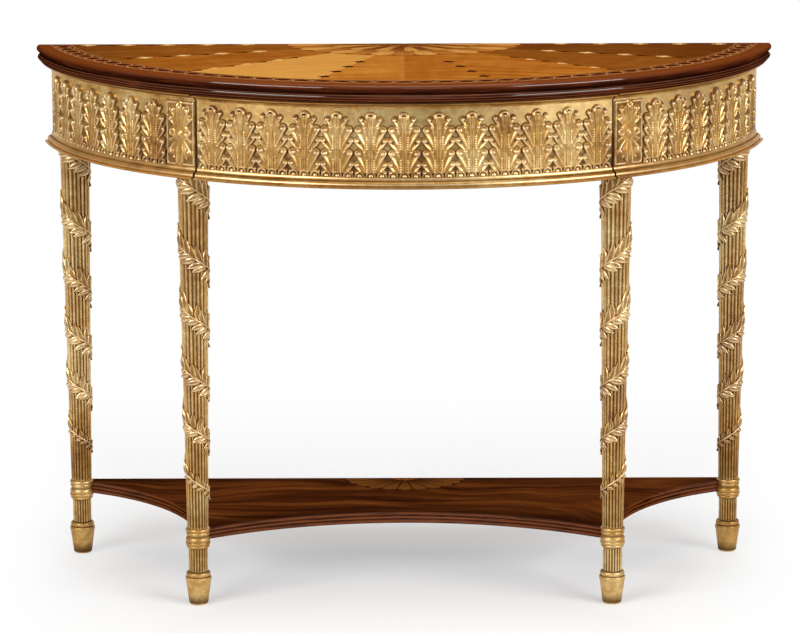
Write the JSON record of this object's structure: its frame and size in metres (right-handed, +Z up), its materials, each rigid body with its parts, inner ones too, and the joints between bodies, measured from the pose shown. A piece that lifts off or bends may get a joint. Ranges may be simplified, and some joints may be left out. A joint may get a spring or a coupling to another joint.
{
  "type": "demilune console table",
  "caption": "Half-round console table with inlaid top, carved gilt apron holding a bowed drawer, tapering fluted legs wound with carved garlands and a low shelf with concave edges.",
  "frame": {"origin": "on the floor under the middle of the table's box", "axes": "+X to the right along the straight back edge, +Y towards the wall, +Z up"},
  "size_m": [1.2696, 0.5219, 0.9],
  "materials": {
    "gilt": "carved wood with worn gold leaf over red-brown bole",
    "mahogany": "polished dark mahogany",
    "satinwood": "polished satinwood veneer in radial sectors",
    "banding": "polished lozenge banding",
    "inlay": "polished shaded inlay",
    "carcase_wood": "unpolished secondary wood",
    "drawer_lining": "planed oak",
    "screw_steel": "plain steel wood screw"
  },
  "bodies": {
    "carcase": {"back_rail": "carcase_wood", "drawer_stops": "carcase_wood", "front_left_leg": "gilt", "front_left_post": "carcase_wood", "front_right_leg": "gilt", "front_right_post": "carcase_wood", "left_apron_rail": "gilt", "left_base_moulding": "gilt", "left_bead_row": "gilt", "left_cove": "gilt", "left_glue_blocks": "carcase_wood", "left_guide": "carcase_wood", "left_kicker": "carcase_wood", "left_leaf_band": "gilt", "left_patera_plaque": "gilt", "left_runner": "carcase_wood", "lower_rail": "carcase_wood", "rear_left_leg": "gilt", "rear_left_post": "carcase_wood", "rear_right_leg": "gilt", "rear_right_post": "carcase_wood", "right_apron_rail": "gilt", "right_base_moulding": "gilt", "right_bead_row": "gilt", "right_cove": "gilt", "right_glue_blocks": "carcase_wood", "right_guide": "carcase_wood", "right_kicker": "carcase_wood", "right_leaf_band": "gilt", "right_patera_plaque": "gilt", "right_runner": "carcase_wood", "shelf_board": "mahogany", "shelf_dowels": "carcase_wood", "shelf_fan": "inlay", "top_band": "banding", "top_board": "carcase_wood", "top_field": "satinwood", "top_lipping": "mahogany", "top_patera": "inlay", "top_screws": "screw_steel", "upper_rail": "carcase_wood"},
    "drawer": {"drawer_front": "gilt", "drawer_cove": "gilt", "drawer_base_moulding": "gilt", "drawer_leaf_band": "gilt", "drawer_bead_row": "gilt", "drawer_bottom": "drawer_lining", "drawer_left_side": "drawer_lining", "drawer_right_side": "drawer_lining", "drawer_back": "drawer_lining"}
  },
  "joints": [
    {"name": "drawer_slide", "type": "slide", "parent": "carcase", "child": "drawer", "axis": [0, -1, 0], "range_m": [0, 0.26]}
  ]
}
